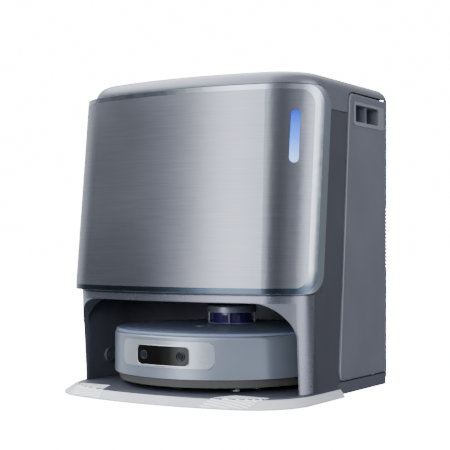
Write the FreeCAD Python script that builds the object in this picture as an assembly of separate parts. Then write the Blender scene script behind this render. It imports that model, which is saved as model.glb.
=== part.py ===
"""Robot vacuum parked in its docking station.

Millimetres, +Z up. The origin is on the floor under the centre of the parked robot. The station's mouth faces
-Y, and +X is the right-hand side seen from the front.
Each function below returns the solids of one sub-part, and the table at the end names its node.
"""
import FreeCAD
import Part
import math
import os

V = FreeCAD.Vector

# ---- driving dimensions of the station ----
HW = 210.5              # half the body's width
YB = 215.5              # back face
YF0 = -180.0            # front face, at floor level
RF = 600.0              # radius of the bowed front
LEAN = 5.5              # the front leans back by this many degrees
RC_FLOOR = 115.0        # front corner radius at the floor
RC_BELT = 65.0          # at the belt, under the door
RC_TOP = 80.0           # at the top
RB = 34.0               # back corner radius
WALL = 3.0              # moulded wall
GAP = 0.5               # gap between neighbouring mouldings
Z_PLATE = 14.0          # top of the base plate, where the robot stands
Z_BELT = 163.0          # top of the arch
Z_SEAM = 446.0          # lid seam on the columns
Z_FRAME = 479.0         # lid seam behind the door
Z_SHOULDER = 481.0      # lid seam above the side tanks
Z_TOP = 500.0           # crown of the lid
RAMP_Y = -215.5         # front edge of the ramp
RAMP_HW = 218.5
RAMP_RC = 98.0
PLATE_Y = -196.0        # front edge of the dark base plate
GARAGE_R = 198.0        # radius of the garage round the robot
Z_ROOF = 153.0          # underside of the garage roof
ARCH_HW = 200.0         # half width of the mouth
ARCH_TOP = 151.5
ARCH_R = 55.0

# ---- front door ----
DOOR_Z0, DOOR_Z1 = 165.5, 477.0
DOOR_OUT = 13.0         # steel face stands this far proud of the body
DOOR_END_U = 97.0       # end of the door, in the diagonal coordinate of door_blank
BEZEL_END_U = 82.0
STEEL_END_U = 65.0
STEEL_MARGIN = 8.5      # clear rim above and below the steel
LENS_U, LENS_W, LENS_Z0, LENS_Z1 = 33.5, 14.5, 359.0, 438.0
MAGNET_X, MAGNET_Z = 150.0, (212.0, 428.0)

# ---- side tanks ----
PANEL_X0, PANEL_X1 = 207.8, 212.8
PANEL_Z0, PANEL_Z1 = 24.0, 478.5
PANEL_Y1 = 180.0
PANEL_FOOT_Y = 5.0      # front edge of the side panel at its foot
PANEL_RAKE = 0.080      # the front edge leans back by this much per millimetre of height
PANEL_CORNER = 15.0
PANEL_SOFT = 3.4        # rounding of the panel's outer edge
TANK_X0 = 132.0
GRIP_Y0, GRIP_Y1, GRIP_Z0, GRIP_Z1 = 57.0, 150.0, 433.0, 463.0
GRIP_X = 190.0

# ---- robot ----
ROBOT_R = 175.0
SKIRT_Z, SHELL_Z, RIM_Z, DECK_Z = 22.0, 35.0, 100.0, 104.0
DECK_CROWN = 4.6        # the top cover is a shallow dome
WINDOW_Z0, WINDOW_Z1, WINDOW_HALF = 54.8, 84.0, 47.5
BEZEL_Z0, BEZEL_Z1, BEZEL_HALF = 51.0, 92.0, 84.0
LIDAR_Y, LIDAR_R = 32.0, 41.0
BUTTON_Y = -62.0
WHEEL_X, WHEEL_Y, WHEEL_R, WHEEL_W = 126.0, -4.0, 35.0, 24.0
WHEEL_CZ = Z_PLATE + 0.7 + WHEEL_R
BRUSH_Y, BRUSH_R, BRUSH_CZ = -50.0, 17.0, 33.5
CASTER_Y, CASTER_R = -132.0, 12.0
SIDE_BRUSH_X, SIDE_BRUSH_Y = 99.0, -99.0
MOP_X, MOP_Y, MOP_R = 64.0, 104.0, 60.0
LID_PIVOT_Y, LID_PIVOT_Z = YB - 5.0, 490.0


# ---------------------------------------------------------------- helpers
def box(x0, x1, y0, y1, z0, z1):
    return Part.makeBox(x1 - x0, y1 - y0, z1 - z0, V(x0, y0, z0))


def cyl(x, y, z0, z1, r):
    return Part.makeCylinder(r, z1 - z0, V(x, y, z0))


def rod(p, direction, length, r):
    return Part.makeCylinder(r, length, V(*p), V(*direction))


def ring(x, y, z0, z1, r0, r1):
    return cyl(x, y, z0, z1, r1).cut(cyl(x, y, z0 - 1, z1 + 1, r0))


def mirror_x(shape):
    return shape.mirror(V(0, 0, 0), V(1, 0, 0))


def join(*shapes):
    return shapes[0].multiFuse(list(shapes[1:])).removeSplitter()


def outline(z, hw, yf, yb, rc, rb):
    """Closed plan outline at height z: bowed front, round corners, straight sides and back."""
    cx = hw - rc
    cy = yf + RF - math.sqrt((RF - rc) ** 2 - cx ** 2)
    t = math.atan2(cx, yf + RF - cy)

    def on(radius, ox, oy, angle):
        return V(ox + radius * math.sin(angle), oy - radius * math.cos(angle), z)

    a, b = on(rc, cx, cy, t), V(hw, cy, z)
    mid = on(rc, cx, cy, (t + math.pi / 2) / 2)
    c, d = V(hw, yb - rb, z), V(hw - rb, yb, z)
    back_mid = V(hw - rb + rb * math.sqrt(0.5), yb - rb + rb * math.sqrt(0.5), z)

    def flip(p):
        return V(-p.x, p.y, p.z)

    edges = [
        Part.Arc(flip(a), V(0, yf, z), a).toShape(),
        Part.Arc(a, mid, b).toShape(),
        Part.LineSegment(b, c).toShape(),
        Part.Arc(c, back_mid, d).toShape(),
        Part.LineSegment(d, flip(d)).toShape(),
        Part.Arc(flip(d), flip(back_mid), flip(c)).toShape(),
        Part.LineSegment(flip(c), flip(b)).toShape(),
        Part.Arc(flip(b), flip(mid), flip(a)).toShape(),
    ]
    return Part.Wire(edges)


def corner_radius(z):
    if z <= Z_BELT:
        return RC_FLOOR + (RC_BELT - RC_FLOOR) * z / Z_BELT
    return RC_BELT + (RC_TOP - RC_BELT) * (z - Z_BELT) / (Z_TOP - Z_BELT)


def lean_y(z):
    return z * math.tan(math.radians(LEAN))


def body_outline(z, off):
    """The station's own outline at height z, moved inwards by off."""
    return outline(z, HW - off, YF0 + lean_y(z) + off, YB - off, corner_radius(z) - off, max(RB - off, 1.0))


def body(z0, z1, off):
    return Part.makeLoft([body_outline(z0, off), body_outline(z1, off)], True, True)


def band(z0, z1, out, inner):
    """The body's wall between two offsets."""
    return body(z0, z1, out).cut(Part.makeLoft([body_outline(z, inner) for z in (z0 - 1, z1 + 1)], True, True))


def prism_xz(points_radius, y0, y1):
    """A rounded rectangle in the XZ plane, run along Y. points_radius is (x0, x1, z0, z1, r)."""
    x0, x1, z0, z1, r = points_radius
    blank = box(x0, x1, y0, y1, z0, z1)
    return blank.makeFillet(r, [e for e in blank.Edges if abs(e.BoundBox.YLength - (y1 - y0)) < 1e-6])


def along_x(shape, length):
    """The straight edges of that length which run along X."""
    return [e for e in shape.Edges if abs(e.BoundBox.XLength - length) < 1e-6]


def arch(grow, y0, y1):
    """The mouth's outline, grown by grow, run along Y: square at the foot and round at the top."""
    x, z, r = ARCH_HW + grow, ARCH_TOP + grow, ARCH_R + grow
    blank = box(-x, x, y0, y1, 0, z)
    long = [e for e in blank.Edges if abs(e.BoundBox.YLength - (y1 - y0)) < 1e-6]
    return blank.makeFillet(r, [e for e in long if e.CenterOfMass.z > z - 1])


def panel_edge(z):
    return PANEL_FOOT_Y + PANEL_RAKE * (z - PANEL_Z0)


def raked_block(x0, x1, front, y1, z0, z1):
    """A block whose front face follows the side panel's raked edge, moved by front."""
    pts = [(panel_edge(z0) + front, z0), (y1, z0), (y1, z1), (panel_edge(z1) + front, z1)]
    wire = Part.makePolygon([V(x0, y, z) for y, z in pts + pts[:1]])
    return Part.Face(wire).extrude(V(x1 - x0, 0, 0))


# ---------------------------------------------------------------- station: base
def panel_recess(x0, x1):
    """The gap in the casing that takes a side panel, with its rounded front corners."""
    z0, z1 = PANEL_Z0 - 1.0, Z_SHOULDER
    block = raked_block(x0, x1, -1.0, 400, z0, z1)
    front = [e for e in along_x(block, x1 - x0) if e.CenterOfMass.y < 100]
    return block.makeFillet(PANEL_CORNER + 1.0, front).fuse(box(x0, x1, PANEL_FOOT_Y - 0.5, 400, 0, z0))


def plate_blank(grow, z0, z1):
    wires = [outline(z, HW - 1 + grow, PLATE_Y - grow, YB - 1 + grow, RC_FLOOR, RB) for z in (z0, z1)]
    return Part.makeLoft(wires, True, True)


def track_ribs(surface, lift):
    """Cross ribs in the two wheel tracks, standing lift above the given surface."""
    raised = surface.copy()
    raised.translate(V(0, 0, lift))
    ribs = []
    for side in (-1, 1):
        for i in range(11):
            y = -207 + 5.6 * i
            x0, x1 = sorted((side * (92 + 2.4 * i), side * (158 + 1.6 * i)))
            rib = box(x0, x1, y, y + 2.0, 1, 30).common(raised)
            ribs += [piece for piece in rib.Solids if piece.Volume > 5]
    return ribs


def base_plate():
    plate = plate_blank(0, 3.0, Z_PLATE)
    plate = plate.cut(box(-136, 136, 34, 176, 6, 20))
    for x, y in FEET:
        plate = plate.cut(cyl(x, y, 2, 5, 11.2))
    skirt = band(Z_PLATE - 2, 22.6, 0, 4.0).common(box(-300, 300, 5, 181, 0, 40))
    return [join(plate, skirt, *track_ribs(plate_blank(0, 10, Z_PLATE), 0.3))]


FEET = [(-150, -120), (150, -120), (-165, 165), (165, 165), (0, 190)]


def rubber_feet():
    return [cyl(x, y, 0, 5, 11) for x, y in FEET]


def ramp():
    def wire(z, hw, yf):
        return outline(z, hw, yf, YB, RAMP_RC, RB)

    foot = Part.makeLoft([wire(0, RAMP_HW, RAMP_Y), wire(2.6, RAMP_HW, RAMP_Y)], True, True)
    slope = Part.makeLoft([wire(2.6, RAMP_HW, RAMP_Y), wire(12.2, HW + 0.6, PLATE_Y - 1.6)], True, True)
    whole = join(foot, slope).cut(plate_blank(GAP, -1, 20)).cut(box(-300, 300, 12, 300, -1, 30))

    return [join(whole, *track_ribs(whole, 0.9)).cut(plate_blank(GAP, -1, 20))]


def wash_tray():
    tray = box(-135.5, 135.5, 34.5, 175.5, 6, 13.2).cut(box(-132, 132, 38, 172, 8, 14))
    ribs = []
    for side in (-1, 1):
        for k in range(8):
            bar = box(-MOP_R, -14, -1.2, 1.2, 7.5, 13.0)
            bar.rotate(V(0, 0, 0), V(0, 0, 1), 45 * k)
            bar.translate(V(side * MOP_X, MOP_Y, 0))
            ribs.append(bar.common(box(-132, 132, 38, 172, 7, 14)))
        ribs.append(cyl(side * MOP_X, MOP_Y, 7.5, 13.0, 15))
    return [join(tray, *ribs)]


def garage_wall():
    def slab(r, x):
        return join(cyl(0, 0, Z_PLATE + 0.3, Z_ROOF, r), box(-x, x, -104, 0, Z_PLATE + 0.3, Z_ROOF))

    wall = slab(GARAGE_R + WALL, GARAGE_R + WALL).cut(slab(GARAGE_R, GARAGE_R))
    wall = wall.cut(box(-GARAGE_R, GARAGE_R, -300, 0, 0, 300))
    for x, y, z in CONTACTS:
        wall = wall.cut(rod((x, 150, z), (0, 1, 0), 70, 6.0))
    wall = wall.cut(box(-28, 28, 180, 220, 62, 92)).common(body(0, 300, WALL + GAP))
    return [wall]


CONTACTS = [(-46.0, 0.0, 50.0), (46.0, 0.0, 50.0)]


def garage_roof():
    roof = body(Z_ROOF + 0.3, Z_ROOF + 4.3, 10.0).common(box(-300, 300, -75.5, 202, 0, 400))
    for side in (-1, 1):
        x0, x1 = sorted((side * 174, side * 300))
        roof = roof.cut(box(x0, x1, 108, 180, 0, 400))
    return [roof]


def wall_pads():
    pads = []
    for side in (-1, 1):
        disc = rod((side * 193.5, -47, 51), (side, 0, 0), 4.5, 12)
        groove = rod((side * 192.5, -47, 51), (side, 0, 0), 2.0, 9)
        pads.append(disc.cut(groove.cut(rod((side * 192, -47, 51), (side, 0, 0), 4, 6.5))))
    return pads


def charge_contacts():
    out = []
    for x, _, z in CONTACTS:
        pin = rod((x, 171.2, z), (0, 1, 0), 31.0, 5.4)
        out.append(join(pin, rod((x, 199, z), (0, 1, 0), 5, 9)))
    return out


# ---------------------------------------------------------------- station: casing
def front_fascia():
    cut_y = -76.0
    skin = band(Z_PLATE + 0.3, Z_BELT, 0, WALL)
    tunnel = arch(WALL, -220, cut_y).common(body(Z_PLATE + 0.3, Z_BELT, 0))
    whole = join(skin, tunnel).cut(arch(0, -260, 20)).common(box(-300, 300, -300, cut_y, 0, 300))
    clear = box(-GARAGE_R - WALL - GAP, GARAGE_R + WALL + GAP, -104.5, 0, 0, 300)
    return [whole.cut(clear.common(body(0, 300, WALL)))]


def door_frame():
    cut_y = -56.5
    skin = band(Z_BELT + GAP, Z_FRAME, 0, WALL).common(box(-300, 300, -300, cut_y, 0, 600))
    window = prism_xz((-120, 120, 190, 430, 14), -250, 0)
    return [join(skin.cut(window), *magnet_row(-1.0, 4.6, 10.5))]


def column(side):
    upper = band(Z_BELT + GAP, Z_SEAM - GAP, 0, WALL).common(box(100, 300, -56, 300, 0, 600))
    lower = band(Z_PLATE + 0.3, Z_BELT + GAP, 0, WALL).common(box(100, 300, -75.5, 300, 0, 600))
    recess = panel_recess(90, 310)
    lip = raked_block(194, HW - 0.2, -4.0, 30, 160, 440).common(box(190, 220, -60, panel_edge(300), 160, 440))
    whole = join(join(upper, lower).cut(recess), lip.cut(recess))
    return whole if side > 0 else mirror_x(whole)


def back_shell():
    back_y = PANEL_Y1 + 1.5
    shell = band(Z_PLATE + 0.3, 481.0, 0, WALL).common(box(-300, 300, back_y, 300, 0, 600))
    groove = body(190, 320, -1.0).cut(body(188, 322, 1.5))
    for side in (-1, 1):
        x0, x1 = sorted((side * 96, side * 300))
        corner = groove.common(box(x0, x1, 187, 300, 0, 600))
        for k in range(16):
            z = 200 + 6.4 * k
            shell = shell.cut(corner.common(box(-300, 300, 0, 300, z, z + 3.0)))
    shell = shell.cut(box(-17, 17, 200, 230, 40, 62))
    for x, y, z in CONTACTS:
        shell = shell.cut(rod((x, 205, z), (0, 1, 0), 5, 10))
    knuckles = []
    for x in (-120, 120):
        for x0 in (x - 19.5, x + 10.5):
            arm = box(x0, x0 + 9, LID_PIVOT_Y - 4, LID_PIVOT_Y + 2.5, 470, LID_PIVOT_Z)
            eye = rod((x0, LID_PIVOT_Y, LID_PIVOT_Z), (1, 0, 0), 9, 3.6)
            bore = rod((x0 - 1, LID_PIVOT_Y, LID_PIVOT_Z), (1, 0, 0), 12, 2.0)
            knuckles.append(arm.fuse(eye).cut(bore))
    return [join(shell, *knuckles)]


def lid_pins():
    return [rod((x - 19.5, LID_PIVOT_Y, LID_PIVOT_Z), (1, 0, 0), 39, 2.0) for x in (-120, 120)]


def power_inlet():
    body_ = box(-16.5, 16.5, 206, 215.5, 40.5, 61.5)
    socket = prism_xz((-12, 12, 43.5, 58.5, 4), 208.5, 220)
    pins = [box(x - 1.2, x + 1.2, 207, 214, 48.5, 53.5) for x in (-5, 5)]
    return [join(body_.cut(socket), *pins)]


def roll_over(steps, off0, z_edge, z_crown, radius):
    """Outline wires that roll inwards from z_edge to z_crown."""
    wires = []
    for k in range(steps + 1):
        a = math.pi / 2 * k / steps
        z = z_edge + (z_crown - z_edge) * math.sin(a)
        wires.append(body_outline(z, off0 + radius * (1 - math.cos(a))))
    return wires


def top_lid():
    edge = Z_TOP - 22.0
    crown = Part.makeLoft(roll_over(7, 0, edge, Z_TOP, 24.0), True, False)
    hollow = Part.makeLoft(roll_over(7, WALL, edge, Z_TOP - 3.2, 21.5), True, False)
    lid = join(body(Z_SEAM + 0.3, edge, 0), crown).cut(join(body(Z_SEAM - 2, edge, WALL), hollow))
    lid = lid.cut(box(-300, 300, -300, -52.0, 0, Z_FRAME + GAP))
    lid = lid.cut(panel_recess(-310, 310)).cut(box(-300, 300, 195, 300, 400, 485.5))
    bosses = []
    for x in (-120, 120):
        boss = rod((x - 10, LID_PIVOT_Y, LID_PIVOT_Z), (1, 0, 0), 20, 3.8)
        web = box(x - 10, x + 10, LID_PIVOT_Y - 2, LID_PIVOT_Y + 3, LID_PIVOT_Z, LID_PIVOT_Z + 5)
        bosses.append(boss.fuse(web))
    lid = join(lid, *bosses)
    for x in (-120, 120):
        lid = lid.cut(rod((x - 30, LID_PIVOT_Y, LID_PIVOT_Z), (1, 0, 0), 60, 2.1))
        for dx in (-20, 10):
            lid = lid.cut(rod((x + dx, LID_PIVOT_Y, LID_PIVOT_Z), (1, 0, 0), 10, 8.2))
    return [lid]


# ---------------------------------------------------------------- station: front door
DIAGONAL_LEAN = math.tan(math.radians(LEAN)) * math.cos(math.radians(45))


def door_prism(end_u, z0, z1, r):
    """Rounded block that trims the door: level edges, and ends that lean back with the front.

    The ends are square to the corners' diagonals. end_u is their distance along the diagonal, at floor level.
    """
    far = 900.0
    u0, u1 = end_u + DIAGONAL_LEAN * z0, end_u + DIAGONAL_LEAN * z1
    pts = [V(-far, -far, z0), V(u0, -far, z0), V(u1, -far, z1), V(-far, -far, z1)]
    blank = Part.Face(Part.makePolygon(pts + pts[:1])).extrude(V(0, 2 * far, 0))
    ends = [e for e in blank.Edges if e.BoundBox.YLength > 2 * far - 1 and e.CenterOfMass.x > 0]
    blank = blank.makeFillet(r, ends)
    blank.rotate(V(0, 0, 0), V(0, 0, 1), 45)
    return blank.common(mirror_x(blank)).common(box(-320, 320, -320, 0, z0 - 1, z1 + 1))


def door_blank(out, inner):
    return band(150, 498, -out, -inner).common(box(-320, 320, -320, -30, 0, 600))


def lens_prism(grow, depth):
    """The light bar's slot: a round-ended bar square to the right front corner, leaning with it."""
    w = LENS_W / 2 + grow
    mid = (LENS_Z0 + LENS_Z1) / 2
    u = LENS_U + DIAGONAL_LEAN * mid
    bar = box(u - w, u + w, depth, 0, LENS_Z0 - grow, LENS_Z1 + grow)
    ends = [e for e in bar.Edges if abs(e.BoundBox.YLength + depth) < 1e-6]
    bar = bar.makeFillet(w - 0.05, ends)
    bar.rotate(V(u, 0, mid), V(0, 1, 0), math.degrees(math.atan(DIAGONAL_LEAN)))
    bar.rotate(V(0, 0, 0), V(0, 0, 1), 45)
    return bar


def door_steel():
    steel = door_blank(DOOR_OUT, DOOR_OUT - 1.5)
    steel = steel.common(door_prism(STEEL_END_U, DOOR_Z0 + STEEL_MARGIN, DOOR_Z1 - STEEL_MARGIN, 22.0))
    return [steel.cut(lens_prism(0.3, -400))]


def door_bezel():
    rim = door_blank(DOOR_OUT - 0.4, DOOR_OUT - 4.0)
    rim = rim.common(door_prism(BEZEL_END_U, DOOR_Z0 + 0.8, DOOR_Z1 - 0.8, 29.0))
    margin = STEEL_MARGIN - 0.2
    return [rim.cut(door_prism(STEEL_END_U + 0.2, DOOR_Z0 + margin, DOOR_Z1 - margin, 22.1))]


def door_liner():
    front = DOOR_OUT - 1.7
    liner = door_blank(front, 4.0).common(door_prism(DOOR_END_U, DOOR_Z0, DOOR_Z1, 31.0))
    step = door_blank(DOOR_OUT, DOOR_OUT - 4.2)
    step = step.common(door_prism(BEZEL_END_U + 0.2, DOOR_Z0 + 0.6, DOOR_Z1 - 0.6, 29.2))
    liner = liner.cut(step.cut(door_prism(STEEL_END_U, DOOR_Z0 + STEEL_MARGIN, DOOR_Z1 - STEEL_MARGIN, 22.0)))
    pocket = door_blank(front - 2.6, 2.0).common(door_prism(DOOR_END_U - 26, DOOR_Z0 + 9, DOOR_Z1 - 9, 20.0))
    return [liner.cut(pocket).cut(lens_prism(0.3, -400))]


def light_bar():
    return [lens_prism(0, -400).common(door_blank(DOOR_OUT + 0.4, DOOR_OUT - 4.5))]


def magnet_row(near, far, r):
    """Four short posts that run forward between two offsets of the body's front."""
    shell = door_blank(far, near)
    posts = [rod((x, -320, z), (0, 1, 0), 290, r) for x in (-MAGNET_X, MAGNET_X) for z in MAGNET_Z]
    return [shell.common(p) for p in posts]


def door_magnets():
    return magnet_row(5.2, DOOR_OUT - 4.4, 9.0)


# ---------------------------------------------------------------- station: side tanks
def tank_panel(side):
    panel = raked_block(PANEL_X0, PANEL_X1, 0, PANEL_Y1, PANEL_Z0, PANEL_Z1)
    corners = along_x(panel, PANEL_X1 - PANEL_X0)
    panel = panel.makeFillet(PANEL_CORNER, [e for e in corners if e.CenterOfMass.y < 100])
    panel = panel.makeFillet(PANEL_SOFT, [e for e in panel.Edges if e.BoundBox.XMin > PANEL_X1 - 0.001])
    grip = box(PANEL_X0 - 1, PANEL_X1 + 1, GRIP_Y0, GRIP_Y1, GRIP_Z0, GRIP_Z1)
    panel = panel.cut(grip.makeFillet(6.0, along_x(grip, PANEL_X1 - PANEL_X0 + 2)))
    return [panel if side > 0 else mirror_x(panel)]


def tank(side):
    main_ = box(TANK_X0, PANEL_X0 - 0.1, 50, 176, 166, 470)
    sump = box(177, PANEL_X0 - 0.1, 112, 176, 30, 170)
    shell = join(main_, sump)
    upright = [e for e in shell.Edges if abs(e.BoundBox.ZLength - 304) < 1e-6]
    shell = shell.makeFillet(5.0, [e for e in upright if e.CenterOfMass.x < 140])
    t = 2.6
    cavity = join(box(TANK_X0 + t, PANEL_X0 - 0.1 - t, 50 + t, 176 - t, 166 + t, 428),
                  box(177 + t, PANEL_X0 - 0.1 - t, 112 + t, 176 - t, 30 + t, 175))
    upper = box(TANK_X0 + t, GRIP_X - 4, 50 + t, 176 - t, 420, 470 - t)
    pocket = box(GRIP_X, PANEL_X1, GRIP_Y0 - 2, GRIP_Y1 + 2, GRIP_Z0 - 2, GRIP_Z1 + 2)
    filler = cyl((TANK_X0 + GRIP_X) / 2, 113, 460, 475, 16.2)
    shell = shell.cut(join(cavity, upper)).cut(pocket).cut(filler)
    return [shell if side > 0 else mirror_x(shell)]


def grip_cup(side):
    """Scooped liner of the finger grip, with a curved front half and a square back half."""
    cup = box(GRIP_X + 0.3, PANEL_X1 - 1.2, GRIP_Y0 - 1.7, GRIP_Y1 + 1.7, GRIP_Z0 - 1.7, GRIP_Z1 + 1.7)
    cup = cup.common(join(box(0, PANEL_X0 - 0.3, 0, 300, 0, 600),
                          box(0, 300, GRIP_Y0 + 0.3, GRIP_Y1 - 0.3, GRIP_Z0 + 0.3, GRIP_Z1 - 0.3)))
    deep = box(GRIP_X + 2, 230, (GRIP_Y0 + GRIP_Y1) / 2 + 2, GRIP_Y1 - 2, GRIP_Z0 + 2, GRIP_Z1 - 2)
    mid = (GRIP_Y0 + GRIP_Y1) / 2
    scoop = rod((PANEL_X1 + 6, mid - 8, GRIP_Z0 + 2), (0, 0, 1), GRIP_Z1 - GRIP_Z0 - 4, 30)
    scoop = scoop.common(box(0, 300, GRIP_Y0 + 2, mid, 0, 600))
    cup = cup.cut(deep).cut(scoop)
    soft = box(PANEL_X0 - 0.4, PANEL_X1, GRIP_Y0, GRIP_Y1, GRIP_Z0, GRIP_Z1)
    soft = soft.cut(soft.makeFillet(6.4, along_x(soft, PANEL_X1 - PANEL_X0 + 0.4)))
    cup = cup.cut(soft)
    rim = box(PANEL_X1 + 0.05, PANEL_X1 + 0.8, GRIP_Y0 - 2.5, 170, GRIP_Z0 - 4.5, GRIP_Z1 + 3.0)
    rim = rim.makeFillet(6.0, along_x(rim, 0.75))
    mouth = box(0, 300, GRIP_Y0 + 1.6, GRIP_Y1 - 1.6, GRIP_Z0 + 1.6, GRIP_Z1 - 1.6)
    mouth = mouth.makeFillet(5.5, along_x(mouth, 300))
    lip = box(PANEL_X1 - 1.4, PANEL_X1 + 0.4, GRIP_Y0 + 0.3, GRIP_Y1 - 0.3, GRIP_Z0 + 0.3, GRIP_Z1 - 0.3)
    lip = lip.makeFillet(6.0, along_x(lip, 1.8))
    cup = join(cup, join(rim, lip).cut(mouth))
    return [cup if side > 0 else mirror_x(cup)]


def tank_cap(side):
    x = (TANK_X0 + GRIP_X) / 2
    wing = box(x - 14, x + 14, 111, 115, 473, 478)
    cap = join(cyl(x, 113, 462, 470.5, 16.0), cyl(x, 113, 470.3, 474, 19.0), wing)
    return [cap if side > 0 else mirror_x(cap)]


# ---------------------------------------------------------------- station: inside
def bay_liner():
    outer = box(-124, 124, -124, 30, 186, 434)
    inner = box(-120, 120, -200, 27, 190, 430)
    hole = rod((0, 20, 250), (0, 1, 0), 20, 24)
    return [outer.cut(inner).cut(hole).common(body(150, 470, WALL + 0.3))]


def dust_bag():
    bag = box(-88, 88, -92, 6, 208, 400)
    return [bag.makeFillet(26.0, bag.Edges)]


def suction_motor():
    can = rod((0, 34, 250), (0, 1, 0), 70, 52)
    nozzle = rod((0, 13, 250), (0, 1, 0), 22, 23)
    outlet = box(-22, 22, 92, 150, 206, 240)
    return [join(can, nozzle, outlet)]


def dust_duct():
    """Duct from the robot's rear port, up the back wall, to the dust bag."""
    leg = box(-26, 26, 203.5, 211.5, 64, 330).cut(box(-23.5, 23.5, 205.3, 209.7, 66.5, 327.5))
    mouth = box(-26, 26, 176.6, 205, 64, 90).cut(box(-22, 22, 170, 207, 68, 86))
    top = box(-26, 26, 112, 206, 304, 330).cut(box(-23.5, 23.5, 110, 208, 306.5, 327.5))
    leg = leg.cut(box(-22, 22, 200, 206, 68, 86))
    top = top.cut(box(-23.5, 23.5, 200, 212, 306.5, 327.5))
    return [join(leg, mouth, top)]


def water_pumps():
    return [join(rod((x, 60, 185), (0, 1, 0), 46, 17), box(x - 17, x + 17, 66, 100, 158, 170)) for x in (-100, 100)]


def air_dryer():
    return [join(cyl(0, 150, 158, 182, 32), box(-12, 12, 150, 196, 158, 180))]


# ---------------------------------------------------------------- robot
def robot_chassis():
    pan = Part.makeCone(ROBOT_R - 9, ROBOT_R - 4.5, SHELL_Z - SKIRT_Z - 0.3, V(0, 0, SKIRT_Z))
    pan = pan.cut(cyl(0, 0, SHELL_Z - 5, SHELL_Z + 2, ROBOT_R - 17))
    wall = ring(0, 0, SHELL_Z - 6, 96.5, ROBOT_R - 17, ROBOT_R - 9)
    rim = ring(0, 0, 96, RIM_Z - 0.1, ROBOT_R - 17, ROBOT_R - 14)
    wall = wall.cut(ring(0, 0, SHELL_Z, 92, ROBOT_R - 14.5, ROBOT_R - 11.5))
    caster_well = ring(0, CASTER_Y, 28, 60, 16.6, 19.5).fuse(ring(0, CASTER_Y, 46, 60, 5.1, 19.5))
    whole = join(pan, wall, rim, caster_well)
    cuts = []
    for s in (-1, 1):
        cuts.append(box(s * WHEEL_X - 17, s * WHEEL_X + 17, WHEEL_Y - 40, WHEEL_Y + 40, 0, 60))
        cuts.append(cyl(s * MOP_X, MOP_Y, 0, 27, MOP_R + 2))
        cuts.append(cyl(s * MOP_X, MOP_Y, 0, 60, 9.0))
    cuts.append(box(-98, 98, BRUSH_Y - 21, BRUSH_Y + 21, 0, 60))
    cuts.append(cyl(0, CASTER_Y, 0, 45.6, 16.5))
    cuts.append(cyl(SIDE_BRUSH_X, SIDE_BRUSH_Y, 0, 27, 22))
    cuts.append(cyl(SIDE_BRUSH_X, SIDE_BRUSH_Y, 0, 60, 6.5))
    for x, y in CLIFF:
        cuts.append(box(x - 8.2, x + 8.2, y - 4.2, y + 4.2, 0, 40))
    for x, _, z in CONTACTS:
        cuts.append(box(x - 9.5, x + 9.5, 158, 175, z - 6.5, z + 6.5))
    cuts.append(box(-22, 22, 158, 175, 68, 86))
    for c in cuts:
        whole = whole.cut(c)
    return [max(whole.Solids, key=lambda s: s.Volume)]


CLIFF = [(-118, -104), (-40, -146), (40, -146), (-152, 44), (152, 44)]


def cliff_sensors():
    return [box(x - 8, x + 8, y - 4, y + 4, SKIRT_Z + 0.6, 30) for x, y in CLIFF]


def shell_wall(z0, z1):
    """Robot side wall, full ring, with a soft shoulder at the top."""
    outer = cyl(0, 0, z0, z1, ROBOT_R)
    rim = [e for e in outer.Edges if e.CenterOfMass.z > z1 - 1 and e.BoundBox.ZLength < 1e-6]
    outer = outer.makeFillet(4.0, rim)
    return outer.cut(cyl(0, 0, z0 - 1, z1 - 2.5, ROBOT_R - 4)).cut(cyl(0, 0, z0, z1 + 1, ROBOT_R - 8.4))


def bumper():
    half = shell_wall(SHELL_Z, RIM_Z - 0.4).common(box(-200, 200, -200, -6.0, 0, 200))
    hole = prism_xz((-WINDOW_HALF - 0.4, WINDOW_HALF + 0.4, WINDOW_Z0 - 0.4, WINDOW_Z1 + 0.4, 8.4), -200, 0)
    frame = prism_xz((-BEZEL_HALF - 0.2, BEZEL_HALF + 0.2, BEZEL_Z0 - 0.2, BEZEL_Z1 + 0.2, 12.2), -200, 0)
    frame = frame.cut(cyl(0, 0, 0, 200, ROBOT_R - 1.2))
    return [half.cut(hole).cut(frame)]


def rear_shell():
    rear = shell_wall(SHELL_Z, RIM_Z - 0.4).common(box(-200, 200, -2.5, 200, 0, 200))
    rear = rear.cut(box(-25, 25, 150, 200, 65, 89))
    for x, _, z in CONTACTS:
        rear = rear.cut(box(x - 10, x + 10, 150, 200, z - 7, z + 7))
    return [rear]


def robot_contacts():
    plates = []
    for x, _, z in CONTACTS:
        block = box(x - 9, x + 9, 164.0, 180, z - 6, z + 6).common(cyl(0, 0, 0, 200, ROBOT_R - 0.3))
        plates.append(block)
    return plates


def sensor_bezel():
    patch = prism_xz((-BEZEL_HALF, BEZEL_HALF, BEZEL_Z0, BEZEL_Z1, 12), -200, 0)
    hole = prism_xz((-WINDOW_HALF, WINDOW_HALF, WINDOW_Z0, WINDOW_Z1, 8), -200, 0)
    return [patch.common(ring(0, 0, 0, 200, ROBOT_R - 1.1, ROBOT_R + 0.7)).cut(hole)]


def sensor_window():
    glass = prism_xz((-WINDOW_HALF + 0.2, WINDOW_HALF - 0.2, WINDOW_Z0 + 0.2, WINDOW_Z1 - 0.2, 7.8), -200, 0)
    glass = glass.common(ring(0, 0, 0, 200, ROBOT_R - 3.6, ROBOT_R - 0.6))
    for x in LENS_X:
        glass = glass.cut(rod((x, -200, LENS_CZ), (0, 1, 0), 60, 7.2))
    return [glass]


LENS_X = (-34.0, 34.0)
LENS_CZ = 69.4


def sensor_lenses():
    out = []
    for x in LENS_X:
        y = -math.sqrt(ROBOT_R ** 2 - x ** 2)
        barrel = rod((x, y + 1.0, LENS_CZ), (0, 1, 0), 3.4, 7.0)
        out.append(join(barrel, rod((x, y + 0.2, LENS_CZ), (0, 1, 0), 2, 3.6)))
    return out


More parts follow.
